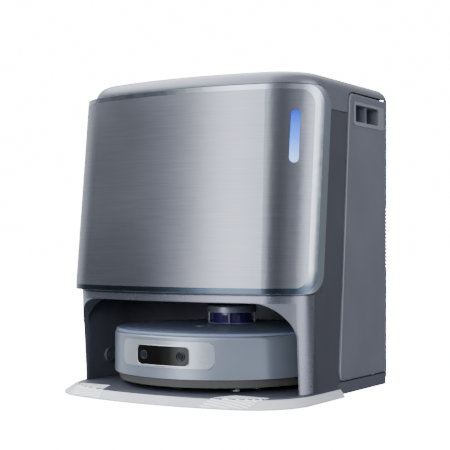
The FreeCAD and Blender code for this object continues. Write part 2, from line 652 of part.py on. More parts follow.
def top_cover():
    edge = ROBOT_R - 2.4
    dome = (edge ** 2 + DECK_CROWN ** 2) / (2 * DECK_CROWN)
    ball = Part.makeSphere(dome, V(0, 0, DECK_Z + DECK_CROWN - dome))
    deck = cyl(0, 0, RIM_Z, DECK_Z + 10, edge).common(ball)
    rim = [e for e in deck.Edges if e.CenterOfMass.z > DECK_Z - 1 and e.BoundBox.ZLength < 1e-6]
    deck = deck.makeFillet(2.4, rim).cut(cyl(0, LIDAR_Y, 0, 200, LIDAR_R + 1.0))
    deck = deck.cut(cyl(0, BUTTON_Y, 0, 200, 9.3))
    groove = ring(0, 0, DECK_Z - 0.1, DECK_Z + 5, ROBOT_R - 17, ROBOT_R - 16.2)
    return [deck.cut(groove)]


def power_button():
    button = cyl(0, BUTTON_Y, RIM_Z + 2.4, DECK_Z + DECK_CROWN - 0.2, 9.0)
    top = [e for e in button.Edges if e.CenterOfMass.z > DECK_Z + 2 and e.BoundBox.ZLength < 1e-6]
    return [button.makeFillet(0.6, top)]


def lidar_base():
    base = cyl(0, LIDAR_Y, 92, 109.6, LIDAR_R)
    top = [e for e in base.Edges if e.CenterOfMass.z > 109 and e.BoundBox.ZLength < 1e-6]
    return [base.makeFillet(1.5, top).cut(cyl(0, LIDAR_Y, 96, 120, 35))]


def lidar_cap():
    cap = cyl(0, LIDAR_Y, 126, 138, LIDAR_R)
    top = [e for e in cap.Edges if e.CenterOfMass.z > 137 and e.BoundBox.ZLength < 1e-6]
    cap = cap.makeFillet(3.5, top)
    posts = [cyl(38 * math.cos(a), LIDAR_Y + 38 * math.sin(a), 109.6, 126.5, 1.7)
             for a in (math.radians(25 + 90 * k) for k in range(4))]
    return [join(cap, *posts)]


def lidar_rotor():
    rotor = cyl(0, LIDAR_Y, 97, 125.2, 33.5)
    face = box(-24, 24, LIDAR_Y - 40, LIDAR_Y - 29.5, 110.5, 122)
    eye = rod((-9, LIDAR_Y - 34, 116.2), (0, 1, 0), 8, 4.6)
    eye2 = rod((11, LIDAR_Y - 34, 116.2), (0, 1, 0), 8, 3.4)
    rotor = rotor.cut(face).cut(eye).cut(eye2)
    rotor.rotate(V(0, LIDAR_Y, 0), V(0, 0, 1), 26)
    return [rotor]


def drive_wheel(side):
    x0 = side * WHEEL_X - WHEEL_W / 2
    tyre = rod((x0, WHEEL_Y, WHEEL_CZ), (1, 0, 0), WHEEL_W, WHEEL_R - 1.2)
    tyre = tyre.makeFillet(3.0, [e for e in tyre.Edges if e.BoundBox.XLength < 1e-6])
    for k in range(20):
        tread = box(x0 + 1.5, x0 + WHEEL_W - 1.5, -2.2, 2.2, WHEEL_R - 5, WHEEL_R)
        tread.translate(V(0, WHEEL_Y, WHEEL_CZ))
        tread.rotate(V(0, WHEEL_Y, WHEEL_CZ), V(1, 0, 0), 18 * k)
        tyre = tyre.fuse(tread)
    return [tyre.removeSplitter().cut(rod((x0 - 1, WHEEL_Y, WHEEL_CZ), (1, 0, 0), WHEEL_W + 2, 22))]


def wheel_hub(side):
    x0 = side * WHEEL_X - WHEEL_W / 2
    hub = rod((x0 + 1, WHEEL_Y, WHEEL_CZ), (1, 0, 0), WHEEL_W - 2, 22)
    for k in range(5):
        a = math.radians(72 * k)
        p = (x0 - 1, WHEEL_Y + 13 * math.sin(a), WHEEL_CZ + 13 * math.cos(a))
        hub = hub.cut(rod(p, (1, 0, 0), 7, 4.5)).cut(rod((p[0] + WHEEL_W - 5, p[1], p[2]), (1, 0, 0), 8, 4.5))
    return [hub.cut(rod((x0, WHEEL_Y, WHEEL_CZ), (1, 0, 0), WHEEL_W, 4.05))]


def wheel_gearboxes():
    out = []
    for s in (-1, 1):
        axle = rod((s * (WHEEL_X + 11), WHEEL_Y, WHEEL_CZ), (-s, 0, 0), 32, 4.0)
        x0, x1 = sorted((s * (WHEEL_X - 19), s * (WHEEL_X - 14)))
        case = box(x0, x1, WHEEL_Y - 26, WHEEL_Y + 38, 38, 88)
        arm = box(x0, x1, WHEEL_Y + 20, WHEEL_Y + 38, 30.1, 60)
        out.append(join(axle, case, arm))
    return out


def caster_fork():
    stem = cyl(0, CASTER_Y, 45, 58, 5.0)
    yoke = cyl(0, CASTER_Y, 30, 45.2, 15.5).cut(box(-8.2, 8.2, -200, -100, 20, 42))
    yoke = yoke.cut(rod((-20, CASTER_Y + 4, 27), (1, 0, 0), 40, 0.5))
    cheeks = [box(s * 10.5 - 1.8, s * 10.5 + 1.8, CASTER_Y - 5, CASTER_Y + 8, 23, 33) for s in (-1, 1)]
    axle = rod((-11.5, CASTER_Y + 3, CASTER_CZ), (1, 0, 0), 23, 2.0)
    return [join(stem, yoke, *cheeks, axle)]


CASTER_CZ = Z_PLATE + 0.7 + CASTER_R


def caster_wheel():
    wheel = rod((-7.6, CASTER_Y + 3, CASTER_CZ), (1, 0, 0), 15.2, CASTER_R)
    wheel = wheel.makeFillet(2.5, [e for e in wheel.Edges if e.BoundBox.XLength < 1e-6])
    return [wheel.cut(rod((-10, CASTER_Y + 3, CASTER_CZ), (1, 0, 0), 20, 2.06))]


def main_brush():
    core = rod((-88, BRUSH_Y, BRUSH_CZ), (1, 0, 0), 176, 11.5)
    out = core
    for k in range(6):
        for half, x0 in ((-1, -86), (1, 1)):
            fin = box(x0, x0 + 85, -1.3, 1.3, 8, BRUSH_R)
            fin.rotate(V(0, 0, 0), V(1, 0, 0), 60 * k + (15 if half > 0 else 0))
            fin.translate(V(0, BRUSH_Y, BRUSH_CZ))
            out = out.fuse(fin)
    axle = rod((-93, BRUSH_Y, BRUSH_CZ), (1, 0, 0), 186, 4)
    return [out.fuse(axle).removeSplitter()]


def brush_guard():
    frame = box(-97.5, 97.5, BRUSH_Y - 20.5, BRUSH_Y + 20.5, SKIRT_Z + 0.4, 56)
    hollow = rod((-91, BRUSH_Y, BRUSH_CZ), (1, 0, 0), 182, BRUSH_R + 1.2)
    mouth = box(-91, 91, BRUSH_Y - 17, BRUSH_Y + 17, 0, BRUSH_CZ)
    frame = frame.cut(hollow).cut(mouth)
    return [frame.cut(rod((-94, BRUSH_Y, BRUSH_CZ), (1, 0, 0), 188, 4.1))]


def side_brush():
    hub = join(cyl(SIDE_BRUSH_X, SIDE_BRUSH_Y, 18.5, 25.5, 9), cyl(SIDE_BRUSH_X, SIDE_BRUSH_Y, 25, 42, 5.5))
    arms = []
    for k in range(3):
        arm = box(7, 20.5, -2.2, 2.2, 17.4, 20.4)
        arm.rotate(V(0, 0, 0), V(0, 0, 1), 120 * k + 40)
        arm.translate(V(SIDE_BRUSH_X, SIDE_BRUSH_Y, 0))
        arms.append(arm)
    return [join(hub, *arms)]


def mop_holder(side):
    x = side * MOP_X
    return [join(cyl(x, MOP_Y, 20.0, 25.5, MOP_R - 3), cyl(x, MOP_Y, 25, 44, 8.0))]


def mop_pad(side):
    x = side * MOP_X
    pad = cyl(x, MOP_Y, 15.0, 20.0, MOP_R)
    return [pad.makeFillet(2.0, [e for e in pad.Edges if e.CenterOfMass.z < 15.5 and e.BoundBox.ZLength < 1e-6])]


def battery():
    pack = box(-88, 88, -124, -84, 64, 92)
    return [pack.makeFillet(3.0, pack.Edges)]


def dust_bin():
    shell = box(-84, 84, -30, 80, 62, 90).cut(box(-82, 82, -28, 78, 64, 88))
    return [shell.cut(box(-40, 40, -32, -26, 66, 86))]


# ---------------------------------------------------------------- nodes
NODES = {
    "base_plate": base_plate,
    "ramp": ramp,
    "rubber_feet": rubber_feet,
    "wash_tray": wash_tray,
    "garage_wall": garage_wall,
    "garage_roof": garage_roof,
    "wall_pads": wall_pads,
    "charge_contacts": charge_contacts,
    "front_fascia": front_fascia,
    "door_frame": door_frame,
    "right_column": lambda: [column(1)],
    "left_column": lambda: [column(-1)],
    "back_shell": back_shell,
    "power_inlet": power_inlet,
    "lid_pins": lid_pins,
    "top_lid": top_lid,
    "door_steel": door_steel,
    "door_bezel": door_bezel,
    "door_liner": door_liner,
    "light_bar": light_bar,
    "door_magnets": door_magnets,
    "clean_tank": lambda: tank(-1),
    "clean_tank_panel": lambda: tank_panel(-1),
    "clean_tank_grip": lambda: grip_cup(-1),
    "clean_tank_cap": lambda: tank_cap(-1),
    "dirty_tank": lambda: tank(1),
    "dirty_tank_panel": lambda: tank_panel(1),
    "dirty_tank_grip": lambda: grip_cup(1),
    "dirty_tank_cap": lambda: tank_cap(1),
    "bay_liner": bay_liner,
    "dust_bag": dust_bag,
    "suction_motor": suction_motor,
    "dust_duct": dust_duct,
    "water_pumps": water_pumps,
    "air_dryer": air_dryer,
    "robot_chassis": robot_chassis,
    "cliff_sensors": cliff_sensors,
    "bumper": bumper,
    "rear_shell": rear_shell,
    "robot_contacts": robot_contacts,
    "sensor_bezel": sensor_bezel,
    "sensor_window": sensor_window,
    "sensor_lenses": sensor_lenses,
    "top_cover": top_cover,
    "power_button": power_button,
    "lidar_base": lidar_base,
    "lidar_cap": lidar_cap,
    "lidar_rotor": lidar_rotor,
    "left_wheel": lambda: drive_wheel(-1) + wheel_hub(-1),
    "right_wheel": lambda: drive_wheel(1) + wheel_hub(1),
    "wheel_gearboxes": wheel_gearboxes,
    "caster_fork": caster_fork,
    "caster_wheel": caster_wheel,
    "battery": battery,
    "dust_bin": dust_bin,
    "main_brush": main_brush,
    "brush_guard": brush_guard,
    "side_brush": side_brush,
    "left_mop": lambda: mop_holder(-1) + mop_pad(-1),
    "right_mop": lambda: mop_holder(1) + mop_pad(1),
}


def save(name, solids):
    flat = [s for shape in solids for s in shape.Solids]
    for s in flat:
        if not s.isValid():
            print("INVALID", name)
    shape = flat[0] if len(flat) == 1 else Part.makeCompound(flat)
    shape.exportStep("parts/%s.step" % name)
    return flat


def main():
    os.makedirs("parts", exist_ok=True)
    for name, make in NODES.items():
        flat = save(name, make())
        print("%-18s solids %d  volume %.0f" % (name, len(flat), sum(s.Volume for s in flat)))


main()
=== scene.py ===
import math
import random

import bmesh
import bpy
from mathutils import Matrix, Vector


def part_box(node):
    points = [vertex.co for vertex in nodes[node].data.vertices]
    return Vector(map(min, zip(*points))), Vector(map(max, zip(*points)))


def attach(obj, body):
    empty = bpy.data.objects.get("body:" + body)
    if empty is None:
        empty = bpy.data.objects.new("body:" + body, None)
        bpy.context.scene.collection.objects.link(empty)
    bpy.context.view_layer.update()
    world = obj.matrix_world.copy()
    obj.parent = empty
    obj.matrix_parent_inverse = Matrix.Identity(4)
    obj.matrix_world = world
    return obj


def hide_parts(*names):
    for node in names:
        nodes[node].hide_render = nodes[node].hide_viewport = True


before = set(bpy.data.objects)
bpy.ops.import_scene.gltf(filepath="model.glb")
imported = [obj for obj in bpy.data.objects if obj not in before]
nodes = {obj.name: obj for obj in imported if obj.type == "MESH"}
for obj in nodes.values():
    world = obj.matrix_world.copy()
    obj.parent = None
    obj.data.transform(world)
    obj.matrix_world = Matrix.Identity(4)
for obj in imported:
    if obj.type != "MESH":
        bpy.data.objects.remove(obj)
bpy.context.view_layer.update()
print("frame loaded:", len(nodes), "nodes")


def linear(code, alpha=1.0):
    # sRGB hex to the linear values that Blender works in
    parts = [int(code[i:i + 2], 16) / 255 for i in (1, 3, 5)]
    return [c / 12.92 if c <= 0.04045 else ((c + 0.055) / 1.055) ** 2.4 for c in parts] + [alpha]


def perMetre(millimetres):
    # texture scale that gives one repeat in that many millimetres
    return 1000.0 / millimetres


def newMaterial(name):
    mat = bpy.data.materials.new(name)
    mat.use_nodes = True
    mat.node_tree.nodes.clear()
    return mat


def add(mat, kind, settings=None, links=None):
    # one node: settings are its sockets' values or its own properties, links are socket: (node, output)
    node = mat.node_tree.nodes.new("ShaderNode" + kind)
    own = {k: v for k, v in (settings or {}).items() if isinstance(k, str) and k not in node.inputs and k != "ramp"}
    for key, value in own.items():
        setattr(node, key, value)
    for key, value in (settings or {}).items():
        if key == "ramp":
            stops = node.color_ramp.elements
            while len(stops) < len(value):
                stops.new(0.5)
            for stop, (position, colour) in zip(stops, value):
                stop.position, stop.color = position, colour
        elif key not in own:
            node.inputs[key].default_value = value
    for key, (source, output) in (links or {}).items():
        mat.node_tree.links.new(source.outputs[output], node.inputs[key])
    return node


def seal(mat, shader):
    add(mat, "OutputMaterial", links={"Surface": (shader, 0)})
    return mat


def paint(mat, *names):
    for name in names:
        for slot in nodes[name].material_slots:
            slot.material = mat


# level gaze from the right-hand front
camera = {"place": (0.9962, -1.5885, 0.2382), "turn": 32.09, "lens": 91.0, "shift": (0.0070, 0.0434)}
camData = bpy.data.cameras.new("camera")
camData.lens = camera["lens"]
camData.sensor_width = 36.0
camData.shift_x, camData.shift_y = camera["shift"]
camObject = bpy.data.objects.new("camera", camData)
camObject.location = camera["place"]
camObject.rotation_euler = (math.radians(90), 0, math.radians(camera["turn"]))
bpy.context.collection.objects.link(camObject)
bpy.context.scene.camera = camObject
print("camera placed")

# a painted sky gives the reflections: stops are (heading in degrees from -Y towards +X, brightness)
studio = {
    "backdrop": 16.0,
    "strength": 2.5,
    "groundShade": 0.55,
    "around": [(-180, 0.25), (-125, 0.50), (-95, 0.40), (-74, 0.14), (-56, 0.07), (-38, 0.10), (-25, 0.50), (-12, 2.6),
               (-2, 2.2), (8, 0.60), (17, 0.18), (34, 0.12), (46, 0.18), (60, 0.30), (74, 0.38), (88, 1.2), (101, 2.2),
               (113, 2.0), (121, 0.35), (131, 0.10), (148, 0.17), (165, 0.18), (180, 0.25)],
    "above": [(-1.0, 3.0), (-0.40, 2.9), (-0.10, 1.4), (0.20, 0.30), (0.7, 0.30), (1.0, 0.5)],
    "tint": "#e9ecf5",
    "lamps": {
        "key": {"place": (0.45, -2.5, 0.62), "aim": (0, 0, 0.08), "size": (1.3, 0.8), "power": 62},
        "side": {"place": (0.75, 0.12, 0.95), "aim": (0.21, 0.08, 0.45), "size": (0.4, 0.4), "power": 1.8},
        "top left": {"place": (-0.9, -0.7, 1.5), "aim": (0, 0, 0.4), "size": (0.8, 0.8), "power": 12},
    },
}
world = bpy.data.worlds.new("studio")
world.use_nodes = True
world.node_tree.nodes.clear()


def grey(value):
    return (value, value, value, 1)


def rampOf(stops, low, high):
    # positions from 0 to 1; a ramp holds at most 32 stops
    return [((at - low) / (high - low), grey(value)) for at, value in stops]


compass = add(world, "SeparateXYZ", links={"Vector": (add(world, "TexCoord"), "Generated")})
forward = add(world, "Math", {"operation": "MULTIPLY", 1: -1.0}, {0: (compass, "Y")})
bearing = add(world, "Math", {"operation": "ARCTAN2"}, {0: (compass, "X"), 1: (forward, 0)})
turn = add(world, "MapRange", {"From Min": -math.pi, "From Max": math.pi}, {"Value": (bearing, 0)})
around = add(world, "ValToRGB", {"ramp": rampOf(studio["around"], -180, 180)}, {"Fac": (turn, 0)})
across = add(world, "MapRange", {"From Min": -1.0, "From Max": 1.0}, {"Value": (compass, "X")})
above = add(world, "ValToRGB", {"ramp": rampOf(studio["above"], -1, 1)}, {"Fac": (across, 0)})
rise = add(world, "MapRange", {"interpolation_type": "SMOOTHSTEP", "From Min": 0.38, "From Max": 0.80},
           {"Value": (compass, "Z")})
dome = add(world, "Mix", {"data_type": "RGBA"}, {0: (rise, 0), 6: (around, 0), 7: (above, 0)})
below = add(world, "MapRange", {"From Min": -0.25, "From Max": 0.02, "To Min": studio["groundShade"]}, {"Value": (compass, "Z")})
shaded = add(world, "Mix", {"data_type": "RGBA", "blend_type": "MULTIPLY", 0: 1.0}, {6: (dome, 2), 7: (below, 0)})
tinted = add(world, "Mix", {"data_type": "RGBA", "blend_type": "MULTIPLY", 0: 1.0, 7: linear(studio["tint"])}, {6: (shaded, 2)})
soft = add(world, "Background", {"Strength": studio["strength"]}, {"Color": (tinted, 2)})
backdrop = add(world, "Background", {"Color": (1, 1, 1, 1), "Strength": studio["backdrop"]})
either = add(world, "MixShader", links={0: (add(world, "LightPath"), "Is Camera Ray"), 1: (soft, 0), 2: (backdrop, 0)})
add(world, "OutputWorld", links={"Surface": (either, 0)})
bpy.context.scene.world = world

for name, lamp in studio["lamps"].items():
    light = bpy.data.lights.new(name, "AREA")
    light.shape = "RECTANGLE"
    light.size, light.size_y = lamp["size"]
    light.energy = lamp["power"]
    holder = bpy.data.objects.new(name, light)
    holder.location = lamp["place"]
    holder.rotation_euler = (Vector(lamp["aim"]) - holder.location).to_track_quat("-Z", "Y").to_euler()
    # the sky already gives the reflections
    holder.visible_glossy = False
    bpy.context.collection.objects.link(holder)

ground = {"reach": 14.0, "drop": 0.0004, "colour": "#fafafa", "glow": 16.0}
floorMesh = bpy.data.meshes.new("floor")
corners = [(x * ground["reach"], y * ground["reach"], 0) for x, y in ((-1, -1), (1, -1), (1, 1), (-1, 1))]
floorMesh.from_pydata(corners, [], [(0, 1, 2, 3)])
floor = bpy.data.objects.new("floor", floorMesh)
floor.location.z = -ground["drop"]
bpy.context.collection.objects.link(floor)
# uncoated paper roll: flat white with no shine, lit so that no horizon shows
paper = newMaterial("matt backdrop paper")
grain = add(paper, "TexNoise", {"Scale": perMetre(2.0), "Detail": 2.0}, {"Vector": (add(paper, "TexCoord"), "Object")})
paperBump = add(paper, "Bump", {"Strength": 0.05, "Distance": 0.0002}, {"Height": (grain, 0)})
seal(paper, add(paper, "BsdfPrincipled", {"Base Color": linear(ground["colour"]), "Roughness": 0.9, "Emission Color": (1, 1, 1, 1),
                                          "Emission Strength": ground["glow"]}, {"Normal": (paperBump, 0)}))
floorMesh.materials.append(paper)
# the bright paper would wash out the casing, so only the camera sees it
floor.visible_glossy = False
floor.visible_diffuse = False
print("studio set")


# layout of the painted white highlights along the moulded ribbing of the two wheel tracks
ribs = {"pitchMm": 5.6, "widthMm": 2.0, "frontMm": 207, "rows": 11, "lowest": 0.0024,
        "start": 0.092, "startStep": 0.0024, "end": 0.158, "endStep": 0.0016}


def ribHighlightMask(mat, where):
    # 1 on the cross ribbing of the two wheel tracks, which spreads outwards as it goes in: where the painted white
    # highlight goes
    at = add(mat, "SeparateXYZ", links={"Vector": where})
    first = ribs["frontMm"] / ribs["pitchMm"]
    steps = add(mat, "Math", {"operation": "MULTIPLY_ADD", 1: perMetre(ribs["pitchMm"]), 2: first}, {0: (at, "Y")})
    count = add(mat, "Math", {"operation": "FLOOR"}, {0: (steps, 0)})
    share = add(mat, "Math", {"operation": "FRACT"}, {0: (steps, 0)})
    side = add(mat, "Math", {"operation": "ABSOLUTE"}, {0: (at, "X")})
    start = add(mat, "Math", {"operation": "MULTIPLY_ADD", 1: ribs["startStep"], 2: ribs["start"]}, {0: (count, 0)})
    end = add(mat, "Math", {"operation": "MULTIPLY_ADD", 1: ribs["endStep"], 2: ribs["end"]}, {0: (count, 0)})
    highlightMask = add(mat, "Math", {"operation": "GREATER_THAN"}, {0: (side, 0), 1: (start, 0)})
    short = add(mat, "Math", {"operation": "LESS_THAN"}, {0: (side, 0), 1: (end, 0)})
    highlightMask = add(mat, "Math", {"operation": "MULTIPLY"}, {0: (highlightMask, 0), 1: (short, 0)})
    tests = [("LESS_THAN", (share, 0), ribs["widthMm"] / ribs["pitchMm"]), ("GREATER_THAN", (count, 0), -0.5),
             ("LESS_THAN", (count, 0), ribs["rows"] - 0.5), ("GREATER_THAN", (at, "Z"), ribs["lowest"])]
    for operation, source, limit in tests:
        test = add(mat, "Math", {"operation": operation, 1: limit}, {0: source})
        highlightMask = add(mat, "Math", {"operation": "MULTIPLY"}, {0: (highlightMask, 0), 1: (test, 0)})
    return highlightMask


def withRibHighlights(mat, where, tone, s):
    # painted highlight: the rib tops are coloured white over the part's own tone
    if "ribs" not in s:
        return (tone, 0)
    highlightMask = ribHighlightMask(mat, (where, "Object"))
    return (add(mat, "Mix", {"data_type": "RGBA", 7: linear(s["ribs"])}, {0: (highlightMask, 0), 6: (tone, 0)}), 2)


def mouldedPlastic(name, s):
    # injection-moulded shell: tone drifts a little over the part, fine spark texture, gloss that varies with it
    mat = newMaterial(name)
    where = add(mat, "TexCoord")
    drift = add(mat, "TexNoise", {"Scale": perMetre(s.get("driftMm", 80)), "Detail": 3.0}, {"Vector": (where, "Object")})
    tone = add(mat, "ValToRGB", {"ramp": [(0.35, linear(s["colour"])), (0.68, linear(s["lighter"]))]}, {"Fac": (drift, 0)})
    spark = add(mat, "TexNoise", {"Scale": perMetre(0.9), "Detail": 2.0}, {"Vector": (where, "Object")})
    swing = s.get("roughSwing", 0.04)
    gloss = add(mat, "MapRange", {"To Min": s["rough"] - swing, "To Max": s["rough"] + swing}, {"Value": (spark, 0)})
    bump = add(mat, "Bump", {"Strength": s.get("bump", 0.06), "Distance": 0.0002}, {"Height": (spark, 0)})
    shader = add(mat, "BsdfPrincipled", {"IOR": 1.5, "Coat Weight": s.get("coat", 0.0), "Coat Roughness": s.get("coatRough", 0.12),
                                         "Specular IOR Level": s.get("specular", 0.5)},
                 {"Base Color": withRibHighlights(mat, where, tone, s), "Roughness": (gloss, 0), "Normal": (bump, 0)})
    return seal(mat, shader)


def metallicLacquer(name, s):
    # sprayed metallic lacquer on ABS: small aluminium flakes under a satin clear coat
    mat = newMaterial(name)
    where = add(mat, "TexCoord")
    drift = add(mat, "TexNoise", {"Scale": perMetre(110), "Detail": 2.0}, {"Vector": (where, "Object")})
    tone = add(mat, "ValToRGB", {"ramp": [(0.35, linear(s["colour"])), (0.66, linear(s["lighter"]))]}, {"Fac": (drift, 0)})
    # real flakes are 0.05 mm; drawn at 0.6 mm so that they show at all
    flakes = add(mat, "TexVoronoi", {"Scale": perMetre(0.6)}, {"Vector": (where, "Object")})
    glint = add(mat, "MapRange", {"To Min": 0.94, "To Max": 1.06}, {"Value": (flakes, "Distance")})
    body = add(mat, "Mix", {"data_type": "RGBA", "blend_type": "MULTIPLY", "Factor": 1.0}, {6: (tone, 0), 7: (glint, 0)})
    swing = 0.03
    gloss = add(mat, "MapRange", {"To Min": s["rough"] - swing, "To Max": s["rough"] + swing}, {"Value": (flakes, "Distance")})
    links = {}
    if "inside" in s:
        # the walls of the mouth are bare satin plastic, and the lacquer stops at its edge
        at = add(mat, "SeparateXYZ", links={"Vector": (where, "Object")})
        side = add(mat, "Math", {"operation": "ABSOLUTE"}, {0: (at, "X")})
        within = add(mat, "Math", {"operation": "LESS_THAN", 1: s["insideHalf"]}, {0: (side, 0)})
        below = add(mat, "Math", {"operation": "LESS_THAN", 1: s["insideTop"]}, {0: (at, "Z")})
        bare = add(mat, "Math", {"operation": "MULTIPLY"}, {0: (within, 0), 1: (below, 0)})
        body = add(mat, "Mix", {"data_type": "RGBA", 7: linear(s["inside"])}, {0: (bare, 0), 6: (body, 2)})
        metal = add(mat, "MapRange", {"To Min": s["metal"], "To Max": 0.0}, {"Value": (bare, 0)})
        links["Metallic"] = (metal, 0)
    soft = add(mat, "Bevel", {"Radius": s.get("edgeMm", 0.8) / 1000})
    bump = add(mat, "Bump", {"Strength": 0.03, "Distance": 0.0001}, {"Height": (flakes, "Distance"), "Normal": (soft, 0)})
    links.update({"Base Color": (body, 2), "Roughness": (gloss, 0), "Normal": (bump, 0)})
    shader = add(mat, "BsdfPrincipled", {"Metallic": s["metal"], "IOR": 1.5, "Coat Weight": s["coat"], "Coat Roughness": 0.18},
                 links)
    return seal(mat, shader)


def brushedSteel(name, s):
    # stainless sheet brushed sideways: reflections smear up and down, with hair-fine level lines
    mat = newMaterial(name)
    where = add(mat, "TexCoord")
    # real brush lines are 0.1 mm apart; drawn several times coarser, so that they show
    stretch = (perMetre(s["lengthMm"]), perMetre(s["lengthMm"]), perMetre(s["lineMm"]))
    along = add(mat, "Mapping", {"Scale": stretch}, {"Vector": (where, "Object")})
    lines = add(mat, "TexNoise", {"Scale": 1.0, "Detail": 4.0, "Roughness": 0.65}, {"Vector": (along, 0)})
    cloud = add(mat, "TexNoise", {"Scale": perMetre(160), "Detail": 1.0}, {"Vector": (where, "Object")})
    tone = add(mat, "ValToRGB", {"ramp": [(0.30, linear(s["colour"])), (0.70, linear(s["lighter"]))]}, {"Fac": (lines, 0)})
    gloss = add(mat, "MapRange", {"From Min": 0.3, "From Max": 0.7, "To Min": s["rough"] - 0.03, "To Max": s["rough"] + 0.03},
                {"Value": (cloud, 0)})
    bump = add(mat, "Bump", {"Strength": 0.06, "Distance": 0.0001}, {"Height": (lines, 0)})
    upright = add(mat, "Tangent", {"direction_type": "RADIAL", "axis": "Z"})
    shader = add(mat, "BsdfPrincipled", {"Metallic": 1.0, "Anisotropic": s["anisotropic"], "Anisotropic Rotation": 0.25},
                 {"Base Color": (tone, 0), "Roughness": (gloss, 0), "Normal": (bump, 0), "Tangent": (upright, 0)})
    return seal(mat, shader)


def polishedMetal(name, s):
    # turned and polished metal with a faint haze of wiping marks, and painted shade darkening its foot where one is set
    mat = newMaterial(name)
    where = add(mat, "TexCoord")
    haze = add(mat, "TexNoise", {"Scale": perMetre(12), "Detail": 3.0}, {"Vector": (where, "Object")})
    tone = add(mat, "ValToRGB", {"ramp": [(0.3, linear(s["colour"])), (0.7, linear(s["lighter"]))]}, {"Fac": (haze, 0)})
    if "foot" in s:
        # painted shade: the colour darkens towards the foot, below a set height
        height = add(mat, "SeparateXYZ", links={"Vector": (where, "Object")})
        rise = add(mat, "MapRange", {"From Min": s["footShadeLow"], "From Max": s["footShadeHigh"]}, {"Value": (height, "Z")})
        shade = add(mat, "ValToRGB", {"ramp": [(0.0, linear(s["foot"])), (1.0, (1, 1, 1, 1))]}, {"Fac": (rise, 0)})
        tone = add(mat, "MixRGB", {"blend_type": "MULTIPLY", 0: 1.0}, {1: (tone, 0), 2: (shade, 0)})
    gloss = add(mat, "MapRange", {"To Min": s["rough"] * 0.7, "To Max": s["rough"] * 1.3}, {"Value": (haze, 0)})
    shader = add(mat, "BsdfPrincipled", {"Metallic": 1.0}, {"Base Color": (tone, 0), "Roughness": (gloss, 0)})
    return seal(mat, shader)


def litDiffuser(name, s):
    # milky polycarbonate over blue diodes: deep blue at the top, almost white at the foot, with small cells
    mat = newMaterial(name)
    where = add(mat, "TexCoord")
    height = add(mat, "SeparateXYZ", links={"Vector": (where, "Object")})
    rise = add(mat, "MapRange", {"From Min": s["low"], "From Max": s["high"]}, {"Value": (height, "Z")})
    stops = [(0.0, linear(s["foot"])), (0.45, linear(s["middle"])), (0.85, linear(s["head"])), (1.0, linear(s["tip"]))]
    glow = add(mat, "ValToRGB", {"ramp": stops}, {"Fac": (rise, 0)})
    cells = add(mat, "TexVoronoi", {"Scale": perMetre(3.2)}, {"Vector": (where, "Object")})
    sparkle = add(mat, "MapRange", {"From Max": 0.6, "To Min": 1.25, "To Max": 0.8}, {"Value": (cells, "Distance")})
    light = add(mat, "Mix", {"data_type": "RGBA", "blend_type": "MULTIPLY", "Factor": 1.0}, {6: (glow, 0), 7: (sparkle, 0)})
    shader = add(mat, "BsdfPrincipled", {"Roughness": 0.25, "IOR": 1.58, "Emission Strength": s["strength"], "Coat Weight": 0.4,
                                         "Coat Roughness": 0.05}, {"Base Color": (glow, 0), "Emission Color": (light, 2)})
    return seal(mat, shader)


def frostedPlastic(name, s):
    # frosted translucent polypropylene: light bleeds inside it, so that edges look paler
    mat = newMaterial(name)
    where = add(mat, "TexCoord")
    drift = add(mat, "TexNoise", {"Scale": perMetre(55), "Detail": 3.0}, {"Vector": (where, "Object")})
    tone = add(mat, "ValToRGB", {"ramp": [(0.35, linear(s["colour"])), (0.68, linear(s["lighter"]))]}, {"Fac": (drift, 0)})
    frost = add(mat, "TexNoise", {"Scale": perMetre(0.8), "Detail": 2.0}, {"Vector": (where, "Object")})
    gloss = add(mat, "MapRange", {"To Min": s["rough"] - 0.05, "To Max": s["rough"] + 0.05}, {"Value": (frost, 0)})
    bump = add(mat, "Bump", {"Strength": 0.08, "Distance": 0.0002}, {"Height": (frost, 0)})
    shader = add(mat, "BsdfPrincipled", {"IOR": 1.49, "Subsurface Weight": s["depth"], "Subsurface Radius": (1.0, 1.0, 1.0),
                                         "Subsurface Scale": 0.004, "Transmission Weight": s.get("clear", 0.0)},
                 {"Base Color": withRibHighlights(mat, where, tone, s), "Roughness": (gloss, 0), "Normal": (bump, 0)})
    return seal(mat, shader)


def treadRubber(name, s):
    # filled rubber: matt, slightly dusty in random patches
    mat = newMaterial(name)
    where = add(mat, "TexCoord")
    dust = add(mat, "TexNoise", {"Scale": perMetre(9), "Detail": 5.0}, {"Vector": (where, "Object")})
    tone = add(mat, "ValToRGB", {"ramp": [(0.38, linear(s["colour"])), (0.72, linear(s["lighter"]))]}, {"Fac": (dust, 0)})
    pores = add(mat, "TexNoise", {"Scale": perMetre(0.5), "Detail": 2.0}, {"Vector": (where, "Object")})
    bump = add(mat, "Bump", {"Strength": 0.2, "Distance": 0.0002}, {"Height": (pores, 0)})
    shader = add(mat, "BsdfPrincipled", {"Roughness": 0.78, "IOR": 1.52, "Sheen Weight": 0.1},
                 {"Base Color": (tone, 0), "Normal": (bump, 0)})
    return seal(mat, shader)


